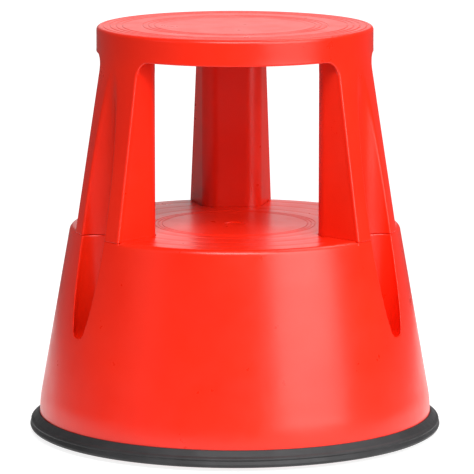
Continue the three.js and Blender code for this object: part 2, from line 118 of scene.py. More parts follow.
def make_piece(name, vertices, faces, normals=None):
    """A smooth mesh object from points in millimetres, with one normal for each if given."""
    mesh = bpy.data.meshes.new(name)
    mesh.from_pydata((np.asarray(vertices) * MM).tolist(), [], faces)
    mesh.polygons.foreach_set("use_smooth", np.ones(len(mesh.polygons), bool))
    if normals is not None:
        mesh.normals_split_custom_set_from_vertices(np.asarray(normals).tolist())
    mesh.update()
    piece = bpy.data.objects.new(name, mesh)
    bpy.context.scene.collection.objects.link(piece)
    return piece


def levels(*spans):
    """Grid levels from (start, stop, step) spans that follow one another."""
    parts = [
        np.linspace(start, stop, max(1, round((stop - start) / step)), endpoint=False)
        for start, stop, step in spans
    ]
    return np.concatenate(parts + [[spans[-1][1]]])


def round_cut(a, b, radius):
    """Where both solids are, with the edge between them rounded."""
    corner = np.hypot(np.maximum(a + radius, 0), np.maximum(b + radius, 0))
    return np.minimum(-radius, np.maximum(a, b)) + corner


def round_join(a, b, radius):
    """Where either solid is, with a fillet between them."""
    return -round_cut(-a, -b, radius)


def gradient(distance, points, reach=0.02):
    """The direction in which the distance grows, at each point."""
    slopes = []
    for axis in range(3):
        offset = np.zeros(3)
        offset[axis] = reach
        ahead, behind = points + offset, points - offset
        slopes.append(distance(*ahead.T) - distance(*behind.T))
    return np.stack(slopes, 1) / (2 * reach)


def onto_surface(distance, points, furthest=0.8):
    """Moves points along the gradient until the distance is zero."""
    for _ in range(5):
        slope = gradient(distance, points)
        steep = np.maximum((slope ** 2).sum(1), 0.05)
        step = slope * (distance(*points.T) / steep)[:, None]
        length = np.linalg.norm(step, axis=1, keepdims=True)
        points = points - step * np.minimum(1, furthest / np.maximum(length, 1e-9))
    return points


def relaxed(points, quads, share=0.5):
    """Moves points part of the way to the mean of their neighbours, which evens out the faces."""
    total, count = np.zeros_like(points), np.zeros(len(points))
    for side in range(4):
        here, there = quads[:, side], quads[:, (side + 1) % 4]
        for start, end in ((here, there), (there, here)):
            for axis in range(3):
                total[:, axis] += np.bincount(start, points[end, axis], len(points))
            count += np.bincount(start, minlength=len(points))
    mean = total / np.maximum(count, 1)[:, None]
    return points + share * np.where(count[:, None] > 0, mean - points, 0)


def surface_net(distance, rho, theta, heights, scale):
    """Points, faces and normals of the surface where distance(x, y, z) is zero.

    The grid is round: rho times scale(z) is the radius, and theta covers one of three equal
    sectors, the last level being the next sector's first.
    """
    sector = theta[:-1]
    around = np.concatenate([sector + i * SECTOR for i in range(SECTOR_COUNT)])
    stretch = scale(heights)
    radius = rho[:, None, None] * stretch
    part = distance(
        radius * np.cos(sector)[None, :, None],
        radius * np.sin(sector)[None, :, None],
        np.broadcast_to(heights, (len(rho), len(sector), len(heights))),
    )
    value = np.concatenate([part] * SECTOR_COUNT, axis=1)
    count = len(around)
    inside = value < 0
    corners = [(a, b, c) for a in (0, 1) for b in (0, 1) for c in (0, 1)]

    def at_corner(grid, corner):
        a, b, c = corner
        turned = np.roll(grid, -b, axis=1)
        return turned[a:len(rho) - 1 + a, :, c:len(heights) - 1 + c]

    filled = sum(at_corner(inside, corner).astype(np.int8) for corner in corners)
    active = (filled > 0) & (filled < 8)
    i, j, k = np.nonzero(active)
    number = np.full(active.shape, -1)
    number[i, j, k] = np.arange(len(i))

    turn = np.append(around, around[0] + 2 * math.pi)
    total, crossings = np.zeros((len(i), 3)), np.zeros(len(i))
    for start in corners:
        for axis in range(3):
            if start[axis]:
                continue
            end = tuple(1 if n == axis else v for n, v in enumerate(start))
            ends = []
            for a, b, c in (start, end):
                place = np.stack([rho[i + a], turn[j + b], heights[k + c]], 1)
                ends.append((value[i + a, (j + b) % count, k + c], place))
            (first, here), (second, there) = ends
            crossed = (first < 0) != (second < 0)
            share = np.where(crossed, first / np.where(crossed, first - second, 1), 0)
            total += crossed[:, None] * (here + share[:, None] * (there - here))
            crossings += crossed
    place = total / crossings[:, None]
    radius = place[:, 0] * scale(place[:, 2])
    points = np.stack([radius * np.cos(place[:, 1]), radius * np.sin(place[:, 1]), place[:, 2]], 1)

    families = []

    def add_quads(crossed, outwards, cells):
        quads = np.stack([number[c][crossed] for c in cells], 1)
        flip = ~outwards[crossed]
        quads[flip] = quads[flip, ::-1]
        families.append(quads)

    here, last = slice(1, None), slice(None, -1)
    before = np.roll(np.arange(count), 1)
    crossed = inside[:-1, :, 1:-1] != inside[1:, :, 1:-1]
    add_quads(crossed, inside[:-1, :, 1:-1], [
        np.ix_(range(len(rho) - 1), before, range(len(heights) - 2)),
        (slice(None), slice(None), last),
        (slice(None), slice(None), here),
        np.ix_(range(len(rho) - 1), before, range(1, len(heights) - 1)),
    ])
    ahead = np.roll(inside, -1, axis=1)
    crossed = inside[1:-1, :, 1:-1] != ahead[1:-1, :, 1:-1]
    add_quads(crossed, inside[1:-1, :, 1:-1], [
        (last, slice(None), last), (last, slice(None), here),
        (here, slice(None), here), (here, slice(None), last),
    ])
    crossed = inside[1:-1, :, :-1] != inside[1:-1, :, 1:]
    add_quads(crossed, inside[1:-1, :, :-1], [
        np.ix_(range(len(rho) - 2), before, range(len(heights) - 1)),
        np.ix_(range(1, len(rho) - 1), before, range(len(heights) - 1)),
        (here, slice(None), slice(None)),
        (last, slice(None), slice(None)),
    ])
    quads = np.concatenate(families)
    points = onto_surface(distance, points)
    for _ in range(RELAX_STEPS):
        points = onto_surface(distance, relaxed(points, quads))
    normals = gradient(distance, points)
    normals /= np.maximum(np.linalg.norm(normals, axis=1, keepdims=True), 1e-9)

    faces = quads.tolist()
    for level in np.nonzero(inside[0, 0, :-1] != inside[0, 0, 1:])[0]:
        cap = number[0, :, level].tolist()
        faces.append(cap if inside[0, 0, level] else cap[::-1])
    return points, faces, normals


# ---- The moulded shells ----

def to_nearest_leg(x, y):
    """A plan position as distance out along the nearest leg and distance across it."""
    angle = np.arctan2(y, x) - REAR_AZIMUTH
    angle = (angle + SECTOR / 2) % SECTOR - SECTOR / 2
    radius = np.hypot(x, y)
    return radius * np.cos(angle), np.abs(radius * np.sin(angle))


def leg_plan(out, across):
    """Distance from a leg's plan: a flat inner face with round corners and two splayed sides."""
    inner = LEG_INNER_RADIUS - out
    half_width = LEG_INNER_HALF_WIDTH + math.tan(LEG_SIDE_ANGLE) * (out - LEG_INNER_RADIUS)
    side = (across - half_width) * math.cos(LEG_SIDE_ANGLE)
    return round_cut(inner, side, LEG_CORNER_ROUND)


def soft_ramp(t, blend):
    """0 below, t above, and a smooth curve between -blend and blend."""
    return np.where(t > blend, t, np.where(t > -blend, (t + blend) ** 2 / (4 * blend), 0))


def leg_radius(z):
    return TOP_RADIUS + LEG_SLOPE * soft_ramp(BAND_BOTTOM - 2 - z, BAND_BLEND)


def base_radius(z):
    radius, height = BASE_REFERENCE
    knee_radius = radius + BASE_SLOPE * (height - SKIRT_KNEE)
    leaning = BASE_SLOPE * soft_ramp(z - SKIRT_KNEE, SKIRT_KNEE_BLEND)
    low, high = SKIRT_FOOT
    flare = np.clip((z - low) / (high - low), 0, 1)
    return SKIRT_RADIUS - leaning - (SKIRT_RADIUS - knee_radius) * flare


def groove(radius, centre, width, depth):
    """A round-bottomed ring groove."""
    t = np.clip((radius - centre) / (width / 2), -1, 1)
    return depth * (1 + np.cos(math.pi * t)) / 2


# Grooves are (centre radius, width, depth).
TOP_GROOVES = [(138.5, 3.0, 0.7), (131.5, 3.0, 0.7), (125.0, 3.0, 0.7), (118.5, 3.0, 0.7),
               (97.0, 2.6, 0.6), (91.0, 2.6, 0.6), (85.0, 2.6, 0.6)]
STEP_GROOVES = [(77.0, 1.6, 0.6), (81.0, 1.6, 0.6), (85.0, 1.6, 0.6),
                (101.0, 13.0, 0.45), (126.0, 13.0, 0.45), (151.0, 13.0, 0.45)]
DISC_RADIUS, DISC_DEPTH, DISC_EDGE = 78.0, 0.5, 0.8
GATE_RADIUS, GATE_DEPTH, GATE_EDGE = 10.5, 1.2, 0.35


def sunk_disc(radius, edge_radius, depth, edge):
    """A shallow round recess whose side falls over a few times edge."""
    return depth / (1 + np.exp((radius - edge_radius) / edge))


def top_depth(radius):
    disc = sunk_disc(radius, DISC_RADIUS, DISC_DEPTH, DISC_EDGE)
    return disc + sum(groove(radius, *g) for g in TOP_GROOVES)


def step_depth(radius):
    gate = sunk_disc(radius, GATE_RADIUS, GATE_DEPTH, GATE_EDGE)
    return gate + sum(groove(radius, *g) for g in STEP_GROOVES)


def upper_distance(x, y, z):
    """The upper moulding: top tread, band and three legs, whose closed insides aren't made."""
    radius = np.hypot(x, y)
    out, across = to_nearest_leg(x, y)
    upright = math.cos(math.atan(LEG_SLOPE))
    side = (radius - leg_radius(z)) * upright
    leg = leg_plan(out, across)
    flute = np.hypot(out - FLUTE_CENTRE, across)

    body = round_cut(side, z - HEIGHT + top_depth(radius), 4.0)
    body = round_cut(body, round_join(leg, BAND_BOTTOM - z, ARCH_ROUND), 1.4)
    body = round_cut(body, FLUTE_RADIUS - flute, 2.2)
    body = round_cut(body, FOOT_HEIGHT - z, EDGE_ROUND)

    roof = round_cut(side + WALL, z - HEIGHT + TREAD_WALL, 1.5)
    return round_cut(body, -round_cut(roof, -leg, 1.5), EDGE_ROUND)


def lower_distance(x, y, z):
    """The lower moulding: step tread, skirt and the three flute wells."""
    radius = np.hypot(x, y)
    out, across = to_nearest_leg(x, y)
    upright = math.cos(math.atan(BASE_SLOPE))
    side = (radius - base_radius(z)) * upright
    leg = leg_plan(out, across)
    flute = np.hypot(out - FLUTE_CENTRE, across)

    tread = round_cut(side, z - STEP_HEIGHT + step_depth(radius), SHOULDER_ROUND)
    recess = round_cut(leg - GAP, FOOT_RECESS - z, 0.3)
    pad = round_cut(round_cut(side, z - FOOT_RECESS, EDGE_ROUND), leg, EDGE_ROUND)
    body = np.minimum(round_cut(tread, -recess, 0.5), pad)
    well = round_cut(flute - FLUTE_RADIUS, FLUTE_FLOOR - z, FLUTE_FLOOR_ROUND)
    body = round_cut(body, -well, 1.8)

    hollow = round_cut(side + WALL, z - STEP_HEIGHT + TREAD_WALL, 4.0)
    tube = round_cut(flute - FLUTE_RADIUS - WELL_WALL, FLUTE_FLOOR - WALL - z, 6.0)
    hollow = round_cut(hollow, -tube, 3.0)
    body = round_cut(body, -hollow, 0.8)
    return round_cut(body, SKIRT_BOTTOM - z, 0.5)


def degrees(*spans):
    """Levels in angle about a leg, given in degrees for one half and mirrored."""
    half = levels(*spans)
    whole = np.concatenate([-half[:0:-1], half])
    return REAR_AZIMUTH + np.radians(whole)


def make_upper_shell():
    rho = levels((0, 70, 14), (70, 82, 2), (82, 100, 1.0), (100, 114, 1.4), (114, 141, 1.1),
                 (141, 146.5, 0.7))
    theta = degrees((0, 5.5, 1.5), (5.5, 10.5, 0.6), (10.5, 18, 0.5), (18, 25, 1.2), (25, 60, 3.4))
    heights = levels((218, 221, 0.6), (221, 375, 4), (375, 400, 1.9), (400, 406, 0.8),
                     (406, 422, 5), (422, 431, 0.6))
    points, faces, normals = surface_net(
        upper_distance, rho, theta, heights, lambda z: leg_radius(z) / TOP_RADIUS)
    return make_piece("upper_moulding", points, faces, normals)


def make_lower_shell():
    rho = levels((0, 8, 4), (8, 13, 0.7), (13, 73, 10), (73, 90, 0.7), (90, 140, 2.2),
                 (140, 160, 1.4), (160, 175, 0.8))
    theta = degrees((0, 4, 1.3), (4, 9.6, 0.6), (9.6, 13.6, 1.3), (13.6, 16.6, 0.42),
                    (16.6, 60, 3.1))
    heights = levels((8, 10.5, 0.5), (10.5, 18, 3), (18, 48, 3), (48, 100, 8), (100, 120, 1.2),
                     (120, 204, 5), (204, 221, 0.6))
    reference = base_radius(np.array(STEP_HEIGHT))
    points, faces, normals = surface_net(
        lower_distance, rho, theta, heights, lambda z: base_radius(z) / reference)
    return make_piece("lower_moulding", points, faces, normals)


def joined(parts):
    """Several (vertices, faces) meshes as one."""
    vertices, faces = [], []
    for some_vertices, some_faces in parts:
        faces += [[i + len(vertices) for i in face] for face in some_faces]
        vertices += list(some_vertices)
    return vertices, faces


def placed(place, vertices):
    return [tuple(place @ Vector(v)) for v in vertices]


def soften_corners(profile, radius, closed, steps=3):
    """A profile with each corner replaced by a short curve."""
    points = [Vector(p) for p in profile]
    result = []
    for i, corner in enumerate(points):
        if not closed and i in (0, len(points) - 1):
            result.append(tuple(corner))
            continue
        before = points[i - 1] - corner
        after = points[(i + 1) % len(points)] - corner
        reach = min(radius, before.length * 0.45, after.length * 0.45)
        start = corner + before.normalized() * reach
        end = corner + after.normalized() * reach
        for step in range(steps + 1):
            t = step / steps
            point = start * (1 - t) ** 2 + corner * (2 * t * (1 - t)) + end * t ** 2
            result.append(tuple(point))
    return result


def turn(profile, softness=0.4, segments=64):
    """Revolves a profile of (radius, height) about Z, going up its outer side.

    It starts and ends on the axis, or closes on itself.
    """
    solid = profile[0][0] == 0
    rows = soften_corners(profile, softness, not solid)
    ends = (rows[0], rows[-1])
    if solid:
        rows = rows[1:-1]
    vertices, faces = [], []
    for radius, height in rows:
        for step in range(segments):
            angle = 2 * math.pi * step / segments
            vertices.append((radius * math.cos(angle), radius * math.sin(angle), height))
    for row in range(len(rows) - (1 if solid else 0)):
        for step in range(segments):
            here, there = row * segments, (row + 1) % len(rows) * segments
            ahead = (step + 1) % segments
            faces.append([here + step, here + ahead, there + ahead, there + step])
    if solid:
        low, high = len(vertices), len(vertices) + 1
        vertices += [(0, 0, ends[0][1]), (0, 0, ends[1][1])]
        last = (len(rows) - 1) * segments
        for step in range(segments):
            ahead = (step + 1) % segments
            faces.append([low, ahead, step])
            faces.append([high, last + step, last + ahead])
    return vertices, faces


def sweep_sections(sections):
    """A closed bar through sections, each a list of points, with flat ends."""
    size = len(sections[0])
    vertices = [point for section in sections for point in section]
    faces = [list(range(size))[::-1], [len(vertices) - size + i for i in range(size)]]
    for row in range(len(sections) - 1):
        for i in range(size):
            j = (i + 1) % size
            low, high = row * size, (row + 1) * size
            faces.append([low + i, low + j, high + j, high + i])
    return vertices, faces


def plate_with_hole(outer, inner, bottom, top):
    """A flat plate between an outer and an inner outline of as many points."""
    count = len(outer)
    vertices = [(x, y, z) for outline, z in ((outer, bottom), (outer, top), (inner, top),
                                             (inner, bottom)) for x, y in outline]
    faces = []
    for row in range(4):
        here, there = row * count, (row + 1) % 4 * count
        for i in range(count):
            j = (i + 1) % count
            faces.append([here + i, here + j, there + j, there + i])
    return vertices, faces


def ellipse(across_x, across_y, count=64):
    angles = [2 * math.pi * i / count for i in range(count)]
    return [(across_x * math.cos(a), across_y * math.sin(a)) for a in angles]


def add_modifiers(piece, bevel=0.0):
    if bevel:
        edge = piece.modifiers.new("bevel", "BEVEL")
        edge.width = bevel * MM
        edge.segments = 3
        edge.limit_method = "ANGLE"
        edge.angle_limit = math.radians(40)
    even = piece.modifiers.new("even_normals", "WEIGHTED_NORMAL")
    even.weight = 80
    return piece


# ---- Ribs and bosses under the shells ----

RIB_COUNT = 12
RIB_THICKNESS = 2.4
RIB_DRAFT = 0.5             # how much thinner a rib's free edge is
HUB_RADIUS = 8.0
TOP_RIB_DEPTH = 16.0        # from the top of the tread to the ribs' free edges
TOP_RIB_RING = 61.2
STEP_RIB_DEPTH = 20.0
STEP_RIB_RING = 71.2
STEP_RIB_REACH = 172.5
RIBS_PER_LEG = RIB_COUNT // SECTOR_COUNT


def radial_rib(azimuth, start, stop, bottom, top):
    """A rib with draft, running outwards under a tread."""
    half, edge = RIB_THICKNESS / 2, (RIB_THICKNESS - RIB_DRAFT) / 2
    sections = [
        [(out, -edge, bottom), (out, edge, bottom), (out, half, top), (out, -half, top)]
        for out in np.linspace(start, stop, 12)
    ]
    vertices, faces = sweep_sections(sections)
    return placed(Matrix.Rotation(azimuth, 3, "Z"), vertices), faces


def make_ribs(name, bottom, top, ring_radius, reach):
    """Radial ribs, a ring rib and a middle hub. reach(i) is where rib i ends."""
    half, edge = RIB_THICKNESS / 2, (RIB_THICKNESS - RIB_DRAFT) / 2
    middle = ring_radius + half
    parts = [
        radial_rib(2 * math.pi * i / RIB_COUNT, HUB_RADIUS - 1, reach(i), bottom, top)
        for i in range(RIB_COUNT)
    ]
    parts.append(turn([(middle - edge, bottom), (middle + edge, bottom), (middle + half, top),
                       (middle - half, top)], 0.4, 120))
    parts.append(turn([(0, bottom + 1), (HUB_RADIUS - 3, bottom + 1), (HUB_RADIUS - 3, bottom - 1),
                       (HUB_RADIUS, bottom - 1), (HUB_RADIUS, top), (0, top)], 0.5, 48))
    return add_modifiers(make_piece(name, *joined(parts)), 0.5)


# ---- Castor dimensions, from the CAD nodes of the first castor, which is out along +Y ----

SOCKET_LOW, SOCKET_HIGH = box_mm("castor_1_socket")
STEM_LOW, STEM_HIGH = box_mm("castor_1_stem")
FORK_LOW, FORK_HIGH = box_mm("castor_1_fork")
TYRE_LOW, TYRE_HIGH = box_mm("castor_1_tyre")
WHEEL_LOW, WHEEL_HIGH = box_mm("castor_1_wheel")
AXLE_LOW, AXLE_HIGH = box_mm("castor_1_axle")
SPRING_LOW, SPRING_HIGH = box_mm("castor_1_spring")
WASHER_LOW, WASHER_HIGH = box_mm("castor_1_thrust_washer")
CLIP_LOW, CLIP_HIGH = box_mm("castor_1_clip")
BUSH_LOW, BUSH_HIGH = box_mm("castor_1_bush")
SCREW_LOW, SCREW_HIGH = box_mm("castor_1_screw_a")
LEG_SCREW_LOW, LEG_SCREW_HIGH = box_mm("leg_1_screw_a")

WHEEL_RADIUS = (TYRE_HIGH[2] - TYRE_LOW[2]) / 2
AXLE_HEIGHT = (TYRE_HIGH[2] + TYRE_LOW[2]) / 2
TRAIL = CASTOR_RADIUS - (TYRE_HIGH[1] + TYRE_LOW[1]) / 2
TYRE_HALF_WIDTH = (TYRE_HIGH[0] - TYRE_LOW[0]) / 2
RIM_RADIUS = 14.0
RIM_HALF_WIDTH = TYRE_HALF_WIDTH - 0.5
HUB_HALF_WIDTH = (WHEEL_HIGH[0] - WHEEL_LOW[0]) / 2
WHEEL_HUB_RADIUS = 6.0
AXLE_RADIUS = 3.0
AXLE_HALF_LENGTH = (AXLE_HIGH[0] - AXLE_LOW[0]) / 2
AXLE_HEAD_RADIUS = 4.6
AXLE_HEAD_THICKNESS = 1.6
FORK_OUTSIDE_HALF = (FORK_HIGH[0] - FORK_LOW[0]) / 2
FORK_THICKNESS = 2.4
CROWN_TOP = FORK_HIGH[2]
STEM_RADIUS = 5.0
STEM_FLANGE_RADIUS = 9.0
SOCKET_RADIUS = 13.0
SOCKET_BORE = 10.5
SOCKET_FLANGE = 2.7
SOCKET_FLANGE_REACH = (SOCKET_HIGH[0] - SOCKET_LOW[0]) / 2
SOCKET_SCREW_OFFSET = 21.0
CASTOR_TRAVEL = 5.0
SPRING_RADIUS = 8.0
SPRING_WIRE = 0.9
SPRING_TURNS = 4.5
SCREW_RADIUS = 2.0
SCREW_HEAD_RADIUS = 3.9
SCREW_HEAD_HEIGHT = 2.6
BOSS_WALL = 3.5
SCREW_BOSS_RADIUS = 5.0
LEG_SCREW_PLACE = (128.0, 26.5)


def make_castor_boss(name, place):
    """The tube, screw posts and gusset that hold one castor's socket, moulded under a well."""
    bottom = SOCKET_LOW[2] + SOCKET_FLANGE + GAP
    top = FLUTE_FLOOR - 1
    inner = SOCKET_RADIUS + GAP
    parts = [turn([(inner, bottom), (inner + BOSS_WALL, bottom), (inner + BOSS_WALL + 0.5, top),
                   (inner, top)], 0.4, 64)]
    for side in (-1, 1):
        post = turn([(SCREW_RADIUS, bottom), (SCREW_BOSS_RADIUS - 0.2, bottom),
                     (SCREW_BOSS_RADIUS, top), (SCREW_RADIUS, top)], 0.4, 32)
        offset = Matrix.Translation((0, side * SOCKET_SCREW_OFFSET, 0))
        parts.append((placed(offset, post[0]), post[1]))
    half = RIB_THICKNESS / 2
    sections = []
    for height in np.linspace(bottom + 4, top, 8):
        reach = float(base_radius(np.array(height))) - CASTOR_RADIUS - WALL / 2
        sections.append([(inner + 1, -half, height), (reach, -half, height),
                         (reach, half, height), (inner + 1, half, height)])
    parts.append(sweep_sections(sections))
    vertices, faces = joined(parts)
    return add_modifiers(make_piece(name, placed(place, vertices), faces), 0.3)


# ---- The rubber floor ring ----

def make_floor_ring():
    """A ring that clips over the skirt's edge, with a sloped top, a bead and a steeper foot."""
    outside, inside = SKIRT_RADIUS + GAP, SKIRT_RADIUS - WALL - GAP
    inner = RING_RADIUS - 18
    floor = SKIRT_BOTTOM - GAP
    profile = [
        (inner, RING_BOTTOM), (inner + 4, RING_BOTTOM), (inner + 5, RING_BOTTOM + 1),
        (inner + 8, RING_BOTTOM + 1), (inner + 9, RING_BOTTOM), (RING_RADIUS - 3.5, RING_BOTTOM),
        (RING_RADIUS - 0.9, RING_BOTTOM + 1.4), (RING_RADIUS, RING_BOTTOM + 3.6),
        (RING_RADIUS - 2.0, RING_BOTTOM + 7.3), (RING_RADIUS - 1.0, RING_BOTTOM + 8.5),
        (RING_RADIUS - 1.6, RING_BOTTOM + 9.5), (RING_RADIUS - 2.9, RING_BOTTOM + 10.5),
        (RING_RADIUS - 4.1, RING_BOTTOM + 11.1), (outside + 1.6, RING_TOP - 0.5),
        (outside + 1.0, RING_TOP), (outside, RING_TOP), (outside, floor), (inside, floor),
        (inside, RING_TOP - 4), (inner + 1.5, RING_TOP - 4), (inner, RING_TOP - 5.5),
    ]
    return add_modifiers(make_piece("floor_ring", *turn(profile, 0.55, 240)))


# ---- Castors ----

def make_socket(name, place):
    bottom, top = SOCKET_LOW[2], SOCKET_HIGH[2]
    tube = turn([(0, top - WALL), (SOCKET_BORE, top - WALL), (SOCKET_BORE, bottom + 0.2),
                 (SOCKET_RADIUS, bottom + 0.2), (SOCKET_RADIUS, top), (0, top)], 0.5)
    flange = plate_with_hole(ellipse(SOCKET_RADIUS + BOSS_WALL, SOCKET_FLANGE_REACH),
                             ellipse(SOCKET_BORE, SOCKET_BORE), bottom, bottom + SOCKET_FLANGE)
    vertices, faces = joined([tube, flange])
    return add_modifiers(make_piece(name, placed(place, vertices), faces), 0.5)


def make_turned(name, place, profile, softness=0.3, segments=64):
    vertices, faces = turn(profile, softness, segments)
    return add_modifiers(make_piece(name, placed(place, vertices), faces))


def make_spring(name, place):
    """A coil with closed ends, each a turn lying flat."""
    low, high = SPRING_LOW[2] + SPRING_WIRE, SPRING_HIGH[2] - SPRING_WIRE
    pitch = SPRING_WIRE * 0.9
    closed = 0.12
    steps, sides = 220, 12
    sections = []
    for step in range(steps + 1):
        t = step / steps
        angle = 2 * math.pi * SPRING_TURNS * t
        rise = min(max((t - closed) / (1 - 2 * closed), 0), 1)
        flat = pitch * (min(t / closed, 1) - 1 + max((t - 1 + closed) / closed, 0))
        height = low + pitch + (high - low - 2 * pitch) * rise + flat
        out = Vector((math.cos(angle), math.sin(angle), 0))
        centre = out * SPRING_RADIUS + Vector((0, 0, height))
        sections.append([
            tuple(centre + out * (SPRING_WIRE * math.cos(turned))
                  + Vector((0, 0, SPRING_WIRE * math.sin(turned))))
            for turned in (-2 * math.pi * i / sides for i in range(sides))
        ])
    vertices, faces = sweep_sections(sections)
    return add_modifiers(make_piece(name, placed(place, vertices), faces))


def make_clip(name, place):
    """A snap ring with a narrow opening."""
    inner, outer = CLIP_HIGH[0] - 3, CLIP_HIGH[0]
    low, high = CLIP_LOW[2], CLIP_HIGH[2]
    sections = []
    for angle in np.radians(np.linspace(20, 340, 60)):
        out = Vector((math.cos(angle), math.sin(angle), 0))
        sections.append([tuple(out * radius + Vector((0, 0, height)))
                         for radius, height in ((inner, low), (inner, high),
                                                (outer, high), (outer, low))])
    vertices, faces = sweep_sections(sections)
    return add_modifiers(make_piece(name, placed(place, vertices), faces), 0.15)


def make_stem(name, place):
    low, high = STEM_LOW[2], STEM_HIGH[2]
    rivet_top = CROWN_TOP - FORK_THICKNESS - GAP
    flange_top = SOCKET_LOW[2] - CASTOR_TRAVEL - 1
    neck = STEM_RADIUS - 0.8
    return make_turned(name, place, [
        (0, low), (5.2, low), (6.5, low + 0.9), (6.5, rivet_top), (STEM_RADIUS, rivet_top),
        (STEM_RADIUS, CROWN_TOP + GAP), (STEM_FLANGE_RADIUS, CROWN_TOP + GAP),
        (STEM_FLANGE_RADIUS, flange_top), (STEM_RADIUS, flange_top),
        (STEM_RADIUS, CLIP_LOW[2] - 0.15), (neck, CLIP_LOW[2] - 0.15),
        (neck, CLIP_HIGH[2] + 0.15), (STEM_RADIUS, CLIP_HIGH[2] + 0.15),
        (STEM_RADIUS, high - 1), (STEM_RADIUS - 1, high), (0, high),
    ], 0.3, 48)


def make_fork(name, place):
    """A bent steel plate: a crown over the wheel, and a cheek each side that narrows to an eye."""
    eye, bend = 7.0, 3.0
    middle = FORK_OUTSIDE_HALF - FORK_THICKNESS / 2
    crown = CROWN_TOP - FORK_THICKNESS / 2
    front, back = 9.0, -12.0
    lowest = AXLE_HEIGHT - eye

    def reach(height):
        """How far the cheek extends, back and front, at a height."""
        round_half = math.sqrt(max(eye ** 2 - (height - AXLE_HEIGHT) ** 2, 0.3))
        share = min(max((height - AXLE_HEIGHT) / (CROWN_TOP - AXLE_HEIGHT), 0), 1)
        straight_back = (-TRAIL - eye) + (back + TRAIL + eye) * share
        tangent = (-TRAIL + 6.0, AXLE_HEIGHT - 3.5)
        shoulder = CROWN_TOP - 6
        lean = min(max((height - tangent[1]) / (shoulder - tangent[1]), 0), 1)
        straight_front = tangent[0] + (front - tangent[0]) * lean
        if height < AXLE_HEIGHT:
            straight_back = -TRAIL - round_half
        if height < tangent[1]:
            straight_front = -TRAIL + round_half
        return straight_back, straight_front

    path = [(-middle, height, (-1, 0)) for height in np.linspace(lowest, crown - bend, 26)]
    for angle in np.radians(np.linspace(180, 90, 7)[1:-1]):
        path.append((-middle + bend + bend * math.cos(angle), crown - bend + bend * math.sin(angle),
                     (math.cos(angle), math.sin(angle))))
    path += [(across, crown, (0, 1)) for across in np.linspace(-middle + bend, 0, 6)]
    path += [(-across, height, (-normal[0], normal[1])) for across, height, normal in path[-2::-1]]
    half = FORK_THICKNESS / 2
    sections = []
    for across, height, (normal_y, normal_z) in path:
        near, far = reach(height)
        sections.append([
            (x, across + normal_y * offset, height + normal_z * offset)
            for x, offset in ((near, half), (far, half), (far, -half), (near, -half))
        ])
    vertices, faces = sweep_sections(sections)
    return add_modifiers(make_piece(name, placed(place, vertices), faces), 0.35)


def make_axle(name, place):
    shank = AXLE_HALF_LENGTH - AXLE_HEAD_THICKNESS
    return make_turned(name, place, [
        (0, -AXLE_HALF_LENGTH), (AXLE_HEAD_RADIUS - 1, -AXLE_HALF_LENGTH),
        (AXLE_HEAD_RADIUS, -AXLE_HALF_LENGTH + 0.8), (AXLE_HEAD_RADIUS, -shank),
        (AXLE_RADIUS, -shank), (AXLE_RADIUS, shank), (AXLE_HEAD_RADIUS, shank),
        (AXLE_HEAD_RADIUS, AXLE_HALF_LENGTH - 0.8), (AXLE_HEAD_RADIUS - 1, AXLE_HALF_LENGTH),
        (0, AXLE_HALF_LENGTH),
    ], 0.4, 48)


def make_wheel(name, place):
    """A moulded wheel with a hub, a thin web, six ribs each side and a rim."""
    bore = AXLE_RADIUS + 0.15
    web = 2.0
    half = [
        (bore, -HUB_HALF_WIDTH), (WHEEL_HUB_RADIUS - 0.5, -HUB_HALF_WIDTH), (WHEEL_HUB_RADIUS, -web),
        (RIM_RADIUS - 2, -web), (RIM_RADIUS - 1.6, -RIM_HALF_WIDTH), (RIM_RADIUS, -RIM_HALF_WIDTH),
    ]
    profile = half + [(radius, -across) for radius, across in reversed(half)]
    parts = [turn(profile, 0.4, 72)]
    reach = (WHEEL_HUB_RADIUS - 0.8, RIM_RADIUS - 1.2)
    for i in range(6):
        sections = [
            [(out, -0.7, -RIM_HALF_WIDTH + 1), (out, 0.7, -RIM_HALF_WIDTH + 1),
             (out, 0.7, RIM_HALF_WIDTH - 1), (out, -0.7, RIM_HALF_WIDTH - 1)]
            for out in np.linspace(*reach, 4)
        ]
        vertices, faces = sweep_sections(sections)
        parts.append((placed(Matrix.Rotation(math.pi * i / 3, 3, "Z"), vertices), faces))
    vertices, faces = joined(parts)
    return add_modifiers(make_piece(name, placed(place, vertices), faces), 0.25)


def make_tyre(name, place):
    """A tyre with round shoulders and two shallow grooves."""
    inner, half = RIM_RADIUS + GAP, TYRE_HALF_WIDTH
    side = [(inner, -half), (WHEEL_RADIUS - 1.8, -half), (WHEEL_RADIUS - 0.5, -half + 1.1),
            (WHEEL_RADIUS, -half + 2.6), (WHEEL_RADIUS, -1.8), (WHEEL_RADIUS - 0.5, -1.3)]
    profile = side + [(radius, -across) for radius, across in reversed(side)]
    return make_turned(name, place, profile, 0.5, 96)


def make_screw(name, place, head_top, length):
    """A pan-headed screw pointing up, with a socket in its head and a threaded shank."""
    bottom = head_top - SCREW_HEAD_HEIGHT
    profile = [(0, bottom + 1.4), (1.1, bottom + 1.2), (1.5, bottom + 0.1), (2.4, bottom),
               (3.4, bottom + 0.6), (SCREW_HEAD_RADIUS, bottom + 1.8),
               (SCREW_HEAD_RADIUS, head_top), (SCREW_RADIUS - 0.4, head_top)]
    thread = 1.4
    for ridge in range(int(length / thread) - 1):
        height = head_top + thread * (ridge + 0.5)
        profile += [(SCREW_RADIUS - 0.4, height), (SCREW_RADIUS, height + thread / 2)]
    profile += [(SCREW_RADIUS - 0.5, head_top + length - 0.6), (0, head_top + length)]
    return make_turned(name, place, profile, 0.15, 32)


# ---- Materials ----

